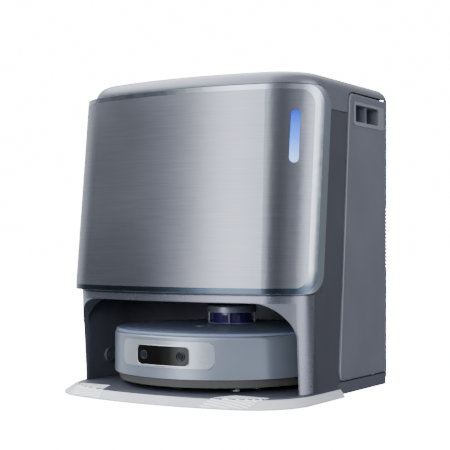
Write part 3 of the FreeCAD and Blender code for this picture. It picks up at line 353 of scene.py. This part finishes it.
def tyreAndHub(name, s):
    # rubber tread and a grey nylon hub on one moulded wheel, told apart by the distance from the axle
    mat = newMaterial(name)
    where = add(mat, "TexCoord")
    centred = add(mat, "VectorMath", {"operation": "SUBTRACT", 1: s["axle"]}, {0: (where, "Object")})
    flat = add(mat, "VectorMath", {"operation": "MULTIPLY", 1: (0, 1, 1)}, {0: (centred, 0)})
    radius = add(mat, "VectorMath", {"operation": "LENGTH"}, {0: (flat, 0)})
    outside = add(mat, "Math", {"operation": "GREATER_THAN", 1: s["hubRadius"]}, {0: (radius, "Value")})
    dust = add(mat, "TexNoise", {"Scale": perMetre(7), "Detail": 5.0}, {"Vector": (where, "Object")})
    rubber = add(mat, "ValToRGB", {"ramp": [(0.35, linear(s["rubber"])), (0.72, linear(s["dusty"]))]}, {"Fac": (dust, 0)})
    nylon = add(mat, "ValToRGB", {"ramp": [(0.35, linear(s["nylon"])), (0.72, linear(s["worn"]))]}, {"Fac": (dust, 0)})
    tone = add(mat, "Mix", {"data_type": "RGBA"}, {0: (outside, 0), 6: (nylon, 0), 7: (rubber, 0)})
    gloss = add(mat, "MapRange", {"To Min": 0.42, "To Max": 0.80}, {"Value": (outside, 0)})
    pores = add(mat, "TexNoise", {"Scale": perMetre(0.6), "Detail": 2.0}, {"Vector": (where, "Object")})
    bump = add(mat, "Bump", {"Strength": 0.2, "Distance": 0.0002}, {"Height": (pores, 0)})
    shader = add(mat, "BsdfPrincipled", {"IOR": 1.52}, {"Base Color": (tone, 2), "Roughness": (gloss, 0), "Normal": (bump, 0)})
    return seal(mat, shader)


def loopedCloth(name, s):
    # microfibre loops: short curls in every direction, with a soft sheen at the edges and painted shade in the gaps
    # between them
    mat = newMaterial(name)
    where = add(mat, "TexCoord")
    loops = add(mat, "TexVoronoi", {"Scale": perMetre(s["loopMm"]), "Randomness": 0.9}, {"Vector": (where, "Object")})
    tint = add(mat, "TexNoise", {"Scale": perMetre(18), "Detail": 3.0}, {"Vector": (where, "Object")})
    tone = add(mat, "ValToRGB", {"ramp": [(0.3, linear(s["colour"])), (0.7, linear(s["lighter"]))]}, {"Fac": (tint, 0)})
    # painted shade: the colour darkens towards the gaps between the loops; the same values give the bump
    dark = add(mat, "MapRange", {"From Max": 0.6, "To Min": 1.0, "To Max": 0.55}, {"Value": (loops, "Distance")})
    body = add(mat, "Mix", {"data_type": "RGBA", "blend_type": "MULTIPLY", 0: 1.0}, {6: (tone, 0), 7: (dark, 0)})
    bump = add(mat, "Bump", {"Strength": 0.9, "Distance": 0.0012}, {"Height": (dark, 0)})
    shader = add(mat, "BsdfPrincipled", {"Roughness": 0.92, "Sheen Weight": 0.4, "Sheen Roughness": 0.5},
                 {"Base Color": (body, 2), "Normal": (bump, 0)})
    return seal(mat, shader)


def feltedPaper(name, s):
    # non-woven dust-bag felt: pressed fibres, faint quilted points
    mat = newMaterial(name)
    where = add(mat, "TexCoord")
    fibre = add(mat, "TexNoise", {"Scale": perMetre(1.6), "Detail": 6.0, "Roughness": 0.7, "Distortion": 1.2},
                {"Vector": (where, "Object")})
    tone = add(mat, "ValToRGB", {"ramp": [(0.3, linear(s["colour"])), (0.7, linear(s["lighter"]))]}, {"Fac": (fibre, 0)})
    points = add(mat, "TexVoronoi", {"Scale": perMetre(3.0), "Randomness": 0.0}, {"Vector": (where, "Object")})
    relief = add(mat, "Math", {"operation": "MULTIPLY_ADD", 1: 0.6}, {0: (points, "Distance"), 2: (fibre, 0)})
    bump = add(mat, "Bump", {"Strength": 0.4, "Distance": 0.0006}, {"Height": (relief, 0)})
    shader = add(mat, "BsdfPrincipled", {"Roughness": 0.9, "Sheen Weight": 0.2}, {"Base Color": (tone, 0), "Normal": (bump, 0)})
    return seal(mat, shader)


# deep grey that mirrors the studio softly, with a bright line along each edge
graphiteLacquer = metallicLacquer("graphite metallic lacquer on ABS",
                                  {"colour": "#494c57", "lighter": "#4f525d", "rough": 0.30, "metal": 0.8, "coat": 0.5})
# thinner coat on the side panels: duller and more even
pewterLacquer = metallicLacquer("pewter metallic lacquer on ABS",
                                {"colour": "#62656f", "lighter": "#686b75", "rough": 0.40, "metal": 0.55, "coat": 0.2})
# a lighter, less metallic copy of the pewter lacquer in the recessed grips: painted light that offsets the shade in
# them
lightenedGripLacquer = metallicLacquer("pewter lacquer in the grips",
                              {"colour": "#6d707a", "lighter": "#737680", "rough": 0.4, "metal": 0.25, "coat": 0.2})
# clear-coated top face: a pale sheen towards the light
lidLacquer = metallicLacquer("pewter lacquer on the lid",
                             {"colour": "#63656f", "lighter": "#696b75", "rough": 0.30, "metal": 0.6, "coat": 0.5})
# brightest lacquer: the arch glows along its rounded front edge, and its inner walls stay bare and dark
silverLacquer = metallicLacquer("silver-grey metallic lacquer on ABS",
                                {"colour": "#70727e", "lighter": "#777985", "rough": 0.27, "metal": 0.85, "coat": 0.4,
                                 "edgeMm": 3.0, "inside": "#5b5d68", "insideHalf": 0.2004, "insideTop": 0.1512})
# cool grey-blue with a broad soft highlight round the bumper
robotLacquer = metallicLacquer("blue-grey metallic lacquer on ABS",
                               {"colour": "#78818f", "lighter": "#7f8896", "rough": 0.32, "metal": 0.5, "coat": 0.25})
# moulded deck: smooth and dark, blurring what stands on it
robotGloss = mouldedPlastic("satin blue-black PMMA over ABS",
                            {"colour": "#5c667c", "lighter": "#626c82", "rough": 0.40, "coat": 0.15, "coatRough": 0.2,
                             "bump": 0.01})
# brushed sheet: one tall smeared highlight, crossed by level hairlines
steelSheet = brushedSteel("brushed stainless steel sheet",
                          {"colour": "#85878f", "lighter": "#94969e", "rough": 0.30, "anisotropic": 0.80, "lineMm": 0.7,
                           "lengthMm": 60})
# polished and anodised: a sharp pale outline, with painted shade darkening it along the foot
paleRim = polishedMetal("polished anodised aluminium rim",
                        {"colour": "#a9b2ba", "lighter": "#b6bec6", "rough": 0.16, "foot": "#65717c", "footShadeLow": 0.176,
                         "footShadeHigh": 0.200})
# fine spark texture: soft, almost black, with no clear reflection
darkShell = mouldedPlastic("dark grey satin ABS", {"colour": "#2a2c33", "lighter": "#2f3138", "rough": 0.48})
# same mould finish, a shade lighter: painted light against the shade inside the garage, so that the garage has a
# visible back
lightenedCavityShell = mouldedPlastic("charcoal satin ABS inside the garage", {"colour": "#43454f", "lighter": "#494b55", "rough": 0.42})
# bluish lacquered frame behind the steel, seen as a dim step beside the rim
coverBack = metallicLacquer("slate metallic lacquer on the cover's back",
                            {"colour": "#666e76", "lighter": "#6c747c", "rough": 0.32, "metal": 0.5, "coat": 0.4})
# dark satin floor; where the wheels climb, the moulded ribbing carries a painted white highlight
plateDark = mouldedPlastic("slate satin ABS base", {"colour": "#393b45", "lighter": "#3f414b", "rough": 0.45, "ribs": "#f2f3f7"})
# milky and frosted: light bleeds in, so it looks soft and nearly white; its ribbing carries a painted white highlight
rampFrost = frostedPlastic("frosted polypropylene ramp",
                           {"colour": "#bcbec5", "lighter": "#c6c8ce", "rough": 0.38, "depth": 0.3, "ribs": "#fbfbfc"})
# coarse mould texture that hides scuffs: matt, and slightly warm
skirtPlastic = mouldedPlastic("warm grey matt ABS", {"colour": "#464644", "lighter": "#4c4c4a", "rough": 0.6, "bump": 0.12})
# polished mould: black mirror with a thin clear glint
blackWindow = mouldedPlastic("infrared-black polycarbonate",
                             {"colour": "#070706", "lighter": "#0b0b0a", "rough": 0.07, "roughSwing": 0.02, "specular": 0.3,
                              "bump": 0.0})
# coated glass: a hard point of light over a bluish dark
lensGlass = mouldedPlastic("coated glass lens",
                           {"colour": "#050608", "lighter": "#101626", "driftMm": 3, "rough": 0.04, "coat": 1.0, "coatRough": 0.02,
                            "bump": 0.0})
# dyed clear plastic: deep violet that only shows where light grazes it
violetPlastic = mouldedPlastic("violet tinted polycarbonate",
                               {"colour": "#23184f", "lighter": "#2b1e5e", "rough": 0.18, "coat": 0.4})
# fine bright flake: the palest patch on the robot
silverTrim = metallicLacquer("bright silver lacquer",
                             {"colour": "#a2a9b4", "lighter": "#abb2bd", "rough": 0.26, "metal": 0.6, "coat": 0.4})
# plated strip: warm white shine
nickelPlate = polishedMetal("nickel-plated contact", {"colour": "#b8b4a8", "lighter": "#cac6ba", "rough": 0.2})
# ground bar: neutral grey shine
steelPin = polishedMetal("ground steel pin", {"colour": "#9a9c9f", "lighter": "#adafb2", "rough": 0.25})
# filled rubber: flat black, greyed by dust
rubberSole = treadRubber("black tread rubber", {"colour": "#151515", "lighter": "#242423"})
# two-shot wheel: flat black tread round a smoother grey middle
tyreHub = tyreAndHub("rubber tyre on a grey nylon hub",
                     {"axle": (0, -0.004, 0.0497), "hubRadius": 0.0221, "rubber": "#131313", "dusty": "#262625",
                      "nylon": "#47494d", "worn": "#505257"})
# looped pile: soft, uneven grey with no shine
mopCloth = loopedCloth("grey microfibre loops", {"colour": "#8a8f99", "lighter": "#9aa0ab", "loopMm": 1.8})
# moulded nylon: even mid grey
mopHolder = mouldedPlastic("grey nylon mop holder", {"colour": "#4a4d53", "lighter": "#53565c", "rough": 0.5})
# pressed fibres: off-white, papery, lightly quilted
bagFelt = feltedPaper("non-woven dust-bag felt", {"colour": "#c9cac6", "lighter": "#dcdcd8"})
# plated wire: a thin sparkling outline
beadMetal = polishedMetal("bright plated bead", {"colour": "#c3c8cf", "lighter": "#d3d8de", "rough": 0.16})
# dark anodised turning: a faint ring round each lens
lensRim = polishedMetal("dark anodised lens ring", {"colour": "#4c4c4b", "lighter": "#5d5d5b", "rough": 0.25})
# drawn filament: pale and slightly glossy
bristle = mouldedPlastic("white-grey nylon bristle", {"colour": "#b9bcc0", "lighter": "#c9ccd0", "rough": 0.35, "driftMm": 4})
# polished outside, frosted inside: cloudy grey with clear edges
clearTank = frostedPlastic("clear-grey tank polycarbonate",
                           {"colour": "#8d97a4", "lighter": "#98a2af", "rough": 0.18, "depth": 0.15, "clear": 0.25})
# same, dyed: smoky, and hides what is in it
smokeTank = frostedPlastic("smoked tank polycarbonate",
                           {"colour": "#3a3c41", "lighter": "#414348", "rough": 0.18, "depth": 0.1, "clear": 0.2})
# glass fibres at the surface: dull black with a grain
ductBlack = mouldedPlastic("black glass-filled nylon", {"colour": "#17181a", "lighter": "#1d1e20", "rough": 0.55, "bump": 0.15})
# plain moulding that nobody sees: flat mid grey
motorGrey = mouldedPlastic("grey motor housing", {"colour": "#3d3f41", "lighter": "#46484a", "rough": 0.5})
# shrunk film: smooth dark blue with a soft shine
batteryWrap = mouldedPlastic("blue heat-shrink film", {"colour": "#1d3550", "lighter": "#24405e", "rough": 0.3, "driftMm": 20})
# moulded fins: flat, near black
bristleNylon = mouldedPlastic("dark nylon and rubber fins", {"colour": "#24242a", "lighter": "#2d2d34", "rough": 0.5})
# lit from behind: saturated blue that fades to pale at its foot
blueLight = litDiffuser("lit blue diffuser",
                        {"low": 0.359, "high": 0.438, "foot": "#8fc0ff", "middle": "#2f78f0", "head": "#0c44cc", "tip": "#0932a0",
                         "strength": 1.0})

paint(graphiteLacquer, "door_frame", "right_column", "left_column")
paint(pewterLacquer, "back_shell", "clean_tank_panel", "dirty_tank_panel")
paint(lidLacquer, "top_lid")
paint(silverLacquer, "front_fascia")
paint(robotLacquer, "bumper", "rear_shell", "lidar_cap")
paint(robotGloss, "top_cover", "lidar_base")
paint(steelSheet, "door_steel")
paint(paleRim, "door_bezel")
paint(coverBack, "door_liner")
paint(plateDark, "base_plate")
paint(darkShell, "wash_tray", "garage_roof", "bay_liner")
paint(lightenedGripLacquer, "clean_tank_grip", "dirty_tank_grip")
paint(lightenedCavityShell, "garage_wall", "wall_pads")
paint(rampFrost, "ramp")
paint(skirtPlastic, "robot_chassis")
paint(blackWindow, "sensor_window", "cliff_sensors")
paint(lensGlass, "sensor_lenses")
paint(violetPlastic, "lidar_rotor")
paint(silverTrim, "sensor_bezel", "power_button")
paint(nickelPlate, "robot_contacts", "charge_contacts")
paint(steelPin, "lid_pins", "door_magnets")
paint(rubberSole, "rubber_feet", "caster_wheel")
paint(tyreHub, "left_wheel", "right_wheel")
paint(clearTank, "clean_tank")
paint(smokeTank, "dirty_tank", "dust_bin")
paint(ductBlack, "dust_duct", "wheel_gearboxes", "caster_fork", "brush_guard", "air_dryer", "power_inlet",
      "clean_tank_cap", "dirty_tank_cap")
paint(motorGrey, "suction_motor", "water_pumps")
paint(batteryWrap, "battery")
paint(bristleNylon, "main_brush", "side_brush")
paint(blueLight, "light_bar")
print("finishes set")


def newPiece(name, bm, mat, body):
    mesh = bpy.data.meshes.new(name)
    bm.normal_update()
    bm.to_mesh(mesh)
    bm.free()
    for face in mesh.polygons:
        face.use_smooth = True
    mesh.materials.append(mat)
    piece = bpy.data.objects.new(name, mesh)
    bpy.context.collection.objects.link(piece)
    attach(piece, body)
    return piece


def lathe(profile, steps, centre, wobble=None):
    # a closed turned body: profile is (radius, height) from the axis at the foot round to the axis at the top
    bm = bmesh.new()
    rings = []
    for radius, height in profile:
        ring = []
        for k in range(steps if radius > 1e-6 else 1):
            angle = 2 * math.pi * k / steps
            lift = wobble(radius, angle) if wobble else 0.0
            x, y = centre[0] + radius * math.cos(angle), centre[1] + radius * math.sin(angle)
            ring.append(bm.verts.new((x, y, height + lift)))
        rings.append(ring)
    for low, high in zip(rings, rings[1:]):
        for k in range(steps):
            a, b = low[k % len(low)], low[(k + 1) % len(low)]
            c, d = high[(k + 1) % len(high)], high[k % len(high)]
            corners = list(dict.fromkeys((a, b, c, d)))
            if len(corners) > 2:
                bm.faces.new(corners)
    bmesh.ops.recalc_face_normals(bm, faces=bm.faces)
    return bm


# two round mop pads on turning holders
mop = {"radius": 0.0598, "foot": 0.0150, "top": 0.0200, "holder": 0.057, "holderTop": 0.0255, "hub": 0.008, "hubTop": 0.044,
       "lobes": 3, "ripple": 0.0005, "flat": 0.012, "steps": 72}
for body in ("left_mop", "right_mop"):
    low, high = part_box(body)
    centre = ((low[0] + high[0]) / 2, (low[1] + high[1]) / 2)
    r, foot, top = mop["radius"], mop["foot"], mop["top"]

    def ripple(radius, angle):
        # the pile is pressed unevenly, and stands a little proud between the pad's three sewn lines
        if radius < mop["flat"]:
            return 0.0
        return mop["ripple"] * (0.5 + 0.5 * math.cos(mop["lobes"] * angle)) * min(1.0, radius / r)

    profile = [(0, foot + 0.0008), (mop["flat"], foot + 0.0008), (0.020, foot + 0.0002), (0.032, foot), (0.044, foot),
               (r - 0.006, foot + 0.0001), (r - 0.0025, foot + 0.0006), (r - 0.0008, foot + 0.0015),
               (r - 0.0004, foot + 0.0027), (r - 0.001, foot + 0.0037), (r - 0.004, top - 0.0006),
               (0.040, top - 0.0006), (0, top - 0.0006)]
    which = body[:-4].capitalize()
    pad = newPiece("mopPad" + which, lathe(profile, mop["steps"], centre, ripple), mopCloth, body)
    h, rim, hub, hubTop = mop["holder"], mop["holderTop"], mop["hub"], mop["hubTop"]
    dish = [(0, top), (h - 0.002, top), (h, top + 0.0012), (h, top + 0.0035), (h - 0.0012, rim), (h - 0.006, rim),
            (h - 0.008, top + 0.0028), (0.020, top + 0.0028), (0.014, rim), (hub, rim + 0.001), (hub, hubTop - 0.001),
            (hub - 0.001, hubTop), (0, hubTop)]
    newPiece("mopHolder" + which, lathe(dish, mop["steps"], centre), mopHolder, body)
    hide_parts(body)
print("mop pads made")

# paper dust bag, plump in its bay
bag = {"inset": 0.0015, "crown": 0.10, "fold": 0.006, "crease": 0.0016, "cuts": 22}
low, high = [Vector(v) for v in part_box("dust_bag")]
middle, half = (low + high) / 2, (high - low) / 2 - Vector((bag["inset"],) * 3)
bm = bmesh.new()
bmesh.ops.create_cube(bm, size=2.0)
bmesh.ops.subdivide_edges(bm, edges=bm.edges[:], cuts=bag["cuts"], use_grid_fill=True)
for v in bm.verts:
    x, y, z = v.co
    # pillow: faces stay full in the middle and thin out towards the seams; the side gussets fold inwards
    plump = (1 - abs(x) ** 4 * 0.35) * (1 - abs(z) ** 4 * 0.40)
    side = max(0.0, abs(x) - 0.55) / 0.45
    gusset = bag["fold"] * side * max(0.0, 1 - abs(y) * 1.8)
    crease = bag["crease"] * math.sin(9 * x + 4 * z) * math.sin(6 * z - 3 * x) * (1 - abs(x) ** 6)
    pull = 1 - bag["crown"] * (x * x * z * z)
    v.co = Vector((middle.x + x * half.x * pull - math.copysign(gusset, x),
                   middle.y + y * half.y * plump * 0.97 + crease * y, middle.z + z * half.z * pull))
dustBag = newPiece("dustBag", bm, bagFelt, "dock")
smoothing = dustBag.modifiers.new("round", "SUBSURF")
smoothing.levels = smoothing.render_levels = 1
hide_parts("dust_bag")
print("dust bag made")

# side brush tufts, fanned out and drooping to the floor
tuft = {"hub": (0.099, -0.099), "arms": 3, "first": 40, "hairs": 12, "root": 0.0165, "rootWidth": 0.0030, "fan": 26,
        "reach": 0.029, "thick": 0.00022, "height": 0.0188, "droop": 0.0024}
hubX, hubY = tuft["hub"]
bm = bmesh.new()
random.seed(4)
for arm in range(tuft["arms"]):
    for hair in range(tuft["hairs"]):
        spread = (hair / (tuft["hairs"] - 1) - 0.5)
        angle = math.radians(tuft["first"] + 360 / tuft["arms"] * arm)
        tip = angle + math.radians(tuft["fan"]) * spread
        aside = tuft["rootWidth"] * spread
        start = Vector((hubX + tuft["root"] * math.cos(angle) - aside * math.sin(angle),
                        hubY + tuft["root"] * math.sin(angle) + aside * math.cos(angle), tuft["height"]))
        reach = tuft["reach"] * random.uniform(0.93, 1.0)
        tipHeight = tuft["height"] - tuft["droop"] * random.uniform(0.7, 1.0)
        end = Vector((hubX + reach * math.cos(tip), hubY + reach * math.sin(tip), tipHeight))
        rings = []
        for share in (0.0, 0.5, 1.0):
            spot = start.lerp(end, share)
            spot.z = start.z + (end.z - start.z) * share ** 2
            width = tuft["thick"] * (1.0 - 0.5 * share)
            ring = []
            for t in (0, math.pi / 2, math.pi, 3 * math.pi / 2):
                flat = width * math.cos(t)
                offset = Vector((-math.sin(angle) * flat, math.cos(angle) * flat, width * math.sin(t)))
                ring.append(bm.verts.new(spot + offset))
            rings.append(ring)
        for a, b in zip(rings, rings[1:]):
            for k in range(4):
                bm.faces.new((a[k], a[(k + 1) % 4], b[(k + 1) % 4], b[k]))
        bm.faces.new(rings[0][::-1])
        bm.faces.new(rings[-1])
newPiece("sideBrushBristles", bm, bristle, "side_brush")
print("bristles made")


def roundRing(centre, axis, major, minor):
    # a ring of round wire, major to the wire's middle and minor thick
    steps, sides = 48, 10
    bm = bmesh.new()
    turned = Vector(axis).to_track_quat("Z", "Y").to_matrix()
    rings = []
    for i in range(steps):
        a = 2 * math.pi * i / steps
        ring = []
        for j in range(sides):
            b = 2 * math.pi * j / sides
            out = major + minor * math.cos(b)
            spot = Vector((out * math.cos(a), out * math.sin(a), minor * math.sin(b)))
            ring.append(bm.verts.new(Vector(centre) + turned @ spot))
        rings.append(ring)
    for here, there in zip(rings, rings[1:] + rings[:1]):
        for j in range(sides):
            k = (j + 1) % sides
            bm.faces.new((here[j], there[j], there[k], here[k]))
    bmesh.ops.recalc_face_normals(bm, faces=bm.faces)
    return bm


# dark rings round the two lenses
lens = {"x": 0.034, "z": 0.0694, "major": 0.0060, "minor": 0.0006, "robot": 0.175, "sunk": 0.0008}
for side, name in ((-1, "lensRingLeft"), (1, "lensRingRight")):
    x = side * lens["x"]
    y = -math.sqrt(lens["robot"] ** 2 - x * x)
    wire = roundRing((x, y + lens["sunk"], lens["z"]), (0, -1, 0), lens["major"], lens["minor"])
    newPiece(name, wire, lensRim, "robot")
print("lens rings made")

# a thin bright bead round the black window, bent round the bumper
bead = {"half": 0.0482, "low": 0.0541, "high": 0.0847, "corner": 0.0085, "robot": 0.1757, "thick": 0.0009, "steps": 10,
        "spacing": 0.003, "sides": 8}
corners = [(bead["half"], bead["low"], -90), (bead["half"], bead["high"], 0), (-bead["half"], bead["high"], 90),
           (-bead["half"], bead["low"], 180)]
path = []
for x, z, first in corners:
    cx = x - math.copysign(bead["corner"], x)
    cz = z + bead["corner"] if z == bead["low"] else z - bead["corner"]
    for k in range(bead["steps"] + 1):
        a = math.radians(first + 90 * k / bead["steps"])
        path.append((cx + bead["corner"] * math.cos(a), cz + bead["corner"] * math.sin(a)))
dense = []
for (x0, z0), (x1, z1) in zip(path, path[1:] + path[:1]):
    parts = max(1, int(math.hypot(x1 - x0, z1 - z0) / bead["spacing"]))
    dense += [(x0 + (x1 - x0) * k / parts, z0 + (z1 - z0) * k / parts) for k in range(parts)]
bm = bmesh.new()
centreZ = (bead["low"] + bead["high"]) / 2
sides = bead["sides"]
rings = []
for x, z in dense:
    angle = math.asin(x / bead["robot"])
    out = Vector((math.sin(angle), -math.cos(angle), 0))
    spot = Vector((x, -math.sqrt(bead["robot"] ** 2 - x * x), z))
    aside = Vector((x, 0, (z - centreZ) * 1.6)).normalized()
    ring = []
    for j in range(sides):
        t = 2 * math.pi * j / sides
        ring.append(bm.verts.new(spot + bead["thick"] * (math.cos(t) * aside + 0.7 * math.sin(t) * out)))
    rings.append(ring)
for a, b in zip(rings, rings[1:] + rings[:1]):
    for j in range(sides):
        k = (j + 1) % sides
        bm.faces.new((a[j], a[k], b[k], b[j]))
bmesh.ops.recalc_face_normals(bm, faces=bm.faces)
newPiece("windowBead", bm, beadMetal, "bumper")
print("window bead made")
